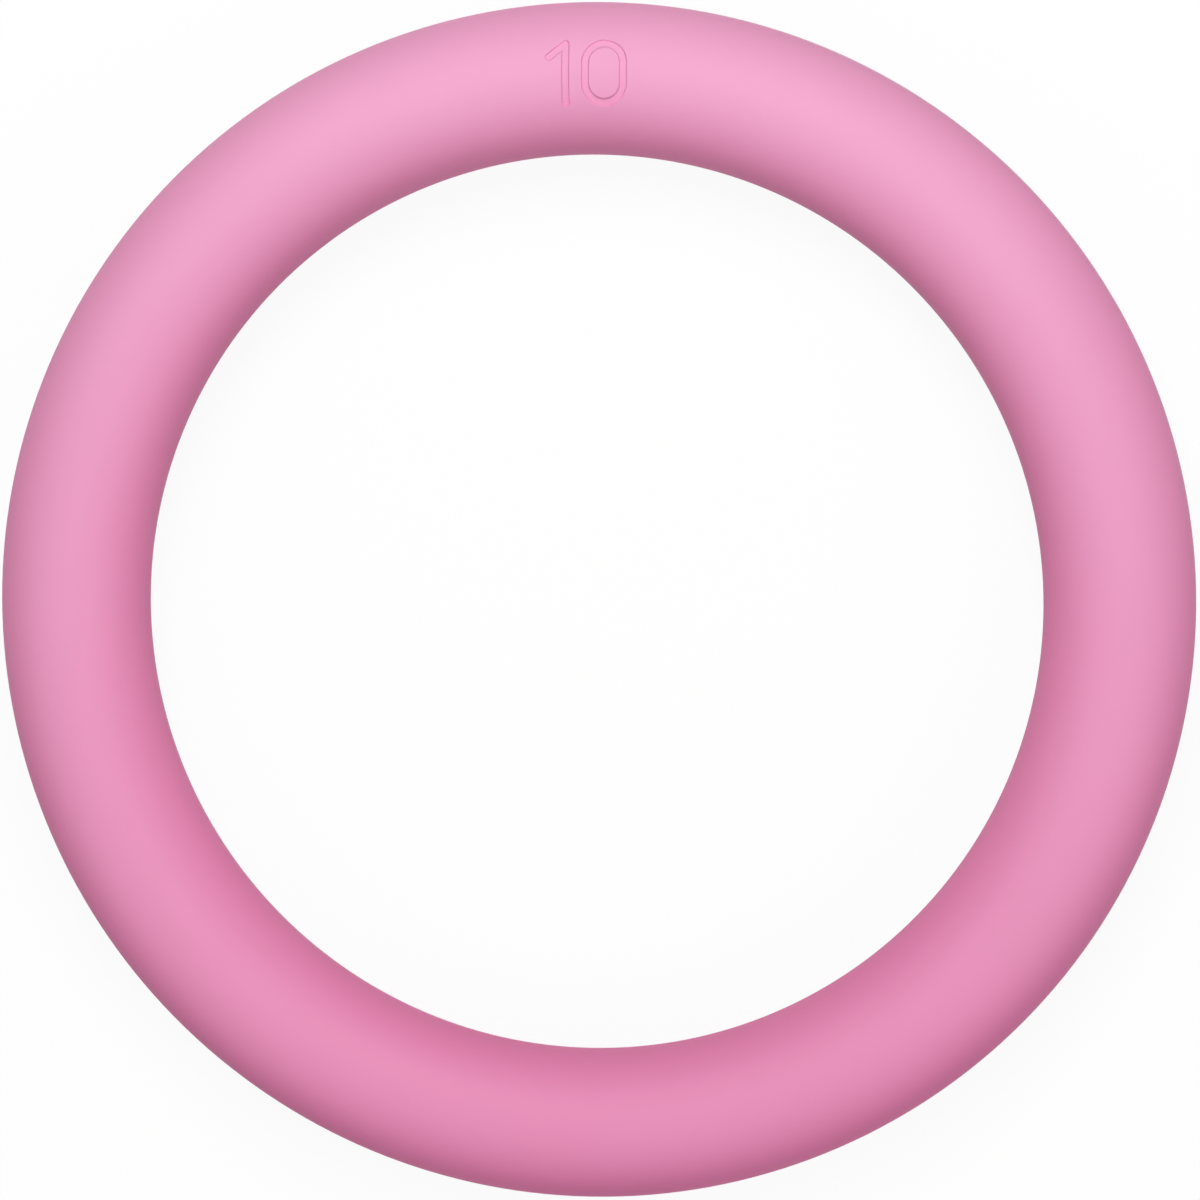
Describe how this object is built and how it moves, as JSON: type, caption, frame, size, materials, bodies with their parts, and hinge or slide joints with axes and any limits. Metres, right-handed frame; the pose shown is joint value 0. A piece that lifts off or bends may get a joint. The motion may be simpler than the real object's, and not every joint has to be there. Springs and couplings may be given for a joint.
{
  "type": "weighted exercise ring",
  "caption": "Round weighted ring for pilates, yoga and strength exercise: a cast iron ring core inside a smooth, matte moulded silicone skin that both hands grip.",
  "frame": {"origin": "under the middle of the ring, on the surface that it lies on", "axes": "+Z is the ring's own axis and points up out of its front face, +Y points to the top of the ring as the picture shows it, and +X to its right"},
  "size_m": [0.285, 0.285, 0.0354],
  "materials": {
    "silicone": "smooth, matte, soft-touch moulded silicone in pink, coloured right through",
    "cast_iron": "dark grey shot-blasted casting, hidden inside the skin"
  },
  "bodies": {
    "root": {"core_ring": "cast_iron", "front_skin": "silicone", "back_skin": "silicone"}
  },
  "joints": []
}
